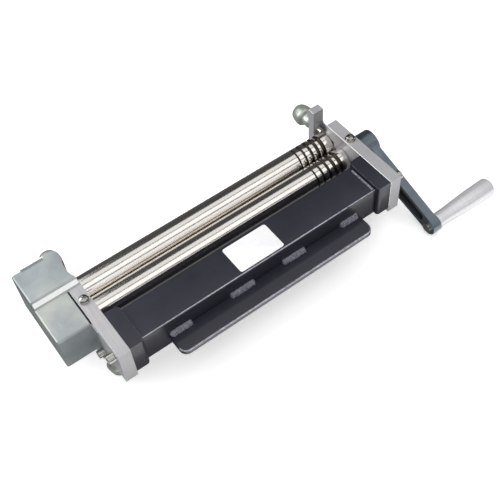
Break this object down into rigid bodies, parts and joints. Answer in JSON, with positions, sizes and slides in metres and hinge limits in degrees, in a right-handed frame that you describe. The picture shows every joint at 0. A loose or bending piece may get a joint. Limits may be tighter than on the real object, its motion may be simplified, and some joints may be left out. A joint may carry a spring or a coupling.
{
  "type": "slip roll machine",
  "caption": "Bench slip roll with two geared pinch rollers, a bending roller, wire grooves, adjusting knobs, a hand crank and a vise tongue, lying on its back.",
  "frame": {"origin": "on the under face of the vise tongue, midway between the side plates", "axes": "+X along the rollers towards the crank, +Y from the vise tongue towards the adjusting knobs (up in use), +Z out of the label face, which is up as the machine lies in the picture"},
  "size_m": [0.479, 0.1982, 0.0924],
  "materials": {
    "paint": "semi-gloss",
    "plate_steel": "satin",
    "roller_steel": "polished",
    "screw_steel": "bright",
    "galvanised": "mottled",
    "gear_steel": "satin",
    "dark_steel": "satin",
    "bronze": "satin",
    "crank_paint": "gloss",
    "grip_aluminium": "satin",
    "block_steel": "satin"
  },
  "bodies": {
    "base": {"base_beam": "paint", "end_block_left": "paint", "end_block_right": "paint", "end_welds": "paint", "vise_tongue": "paint", "tongue_welds": "paint", "side_plate_left": "plate_steel", "side_plate_right": "plate_steel", "plate_screws": "screw_steel", "oil_screws": "screw_steel", "oil_screw_washers": "screw_steel", "plate_dowels": "dark_steel", "gear_cover": "galvanised", "cover_screw": "screw_steel", "lower_bush_left": "bronze", "lower_bush_right": "bronze"},
    "lower_roll": {"lower_roller": "roller_steel", "drive_gear": "gear_steel", "drive_key": "dark_steel", "drive_gear_washer": "screw_steel", "drive_gear_clip": "dark_steel", "crank_arm": "crank_paint", "crank_set_screw": "dark_steel", "grip_axle": "screw_steel", "grip_ring": "dark_steel"},
    "grip": {"crank_grip": "grip_aluminium"},
    "top_carriage": {"top_block_left": "block_steel", "top_block_right": "block_steel"},
    "upper_roll": {"upper_roller": "roller_steel", "driven_gear": "gear_steel", "driven_key": "dark_steel", "driven_gear_washer": "screw_steel", "driven_gear_clip": "dark_steel"},
    "top_adjuster_left": {"top_screw_left": "screw_steel", "top_knob_left": "grip_aluminium"},
    "top_adjuster_right": {"top_screw_right": "screw_steel", "top_knob_right": "grip_aluminium"},
    "bending_carriage": {"bending_block_left": "block_steel", "bending_block_right": "block_steel"},
    "bending_roll": {"bending_roller": "roller_steel", "bending_roller_clips": "dark_steel"},
    "bending_adjuster_left": {"bending_screw_left": "screw_steel", "bending_knob_left": "grip_aluminium"},
    "bending_adjuster_right": {"bending_screw_right": "screw_steel", "bending_knob_right": "grip_aluminium"}
  },
  "joints": [
    {"name": "crank_turn", "type": "hinge", "parent": "base", "child": "lower_roll", "pos_m": [0, 0.0789, 0.0055], "axis": [1, 0, 0], "continuous": true},
    {"name": "grip_spin", "type": "hinge", "parent": "lower_roll", "child": "grip", "pos_m": [0.23, -0.02013, -0.04005], "axis": [1, 0, 0], "continuous": true},
    {"name": "top_roll_lift", "type": "slide", "parent": "base", "child": "top_carriage", "axis": [0, 1, 0], "range_m": [-0.0013, 0.0116]},
    {"name": "upper_roll_turn", "type": "hinge", "parent": "top_carriage", "child": "upper_roll", "pos_m": [0, 0.1069, 0.0071], "axis": [1, 0, 0], "continuous": true},
    {"name": "bending_roll_lift", "type": "slide", "parent": "base", "child": "bending_carriage", "axis": [0, 1, 0], "range_m": [-0.007, 0.007]},
    {"name": "bending_roll_turn", "type": "hinge", "parent": "bending_carriage", "child": "bending_roll", "pos_m": [0, 0.088, -0.0275], "axis": [1, 0, 0], "continuous": true},
    {"name": "top_knob_left_turn", "type": "hinge", "parent": "top_carriage", "child": "top_adjuster_left", "pos_m": [-0.159, 0.15, 0.0071], "axis": [0, 1, 0], "range_deg": [-384.4, 3350.8]},
    {"name": "top_knob_right_turn", "type": "hinge", "parent": "top_carriage", "child": "top_adjuster_right", "pos_m": [0.159, 0.15, 0.0071], "axis": [0, 1, 0], "range_deg": [-384.4, 3350.8]},
    {"name": "bending_knob_left_turn", "type": "hinge", "parent": "bending_carriage", "child": "bending_adjuster_left", "pos_m": [-0.159, 0.04, -0.0275], "axis": [0, 1, 0], "range_deg": [-2026, 2026]},
    {"name": "bending_knob_right_turn", "type": "hinge", "parent": "bending_carriage", "child": "bending_adjuster_right", "pos_m": [0.159, 0.04, -0.0275], "axis": [0, 1, 0], "range_deg": [-2026, 2026]}
  ],
  "couplings": [
    {"joint": "upper_roll_turn", "follows": "crank_turn", "ratio": -1},
    {"joint": "top_knob_left_turn", "follows": "top_roll_lift", "rad_per_m": 5026.5},
    {"joint": "top_knob_right_turn", "follows": "top_roll_lift", "rad_per_m": 5026.5},
    {"joint": "bending_knob_left_turn", "follows": "bending_roll_lift", "rad_per_m": 5026.5},
    {"joint": "bending_knob_right_turn", "follows": "bending_roll_lift", "rad_per_m": 5026.5}
  ]
}
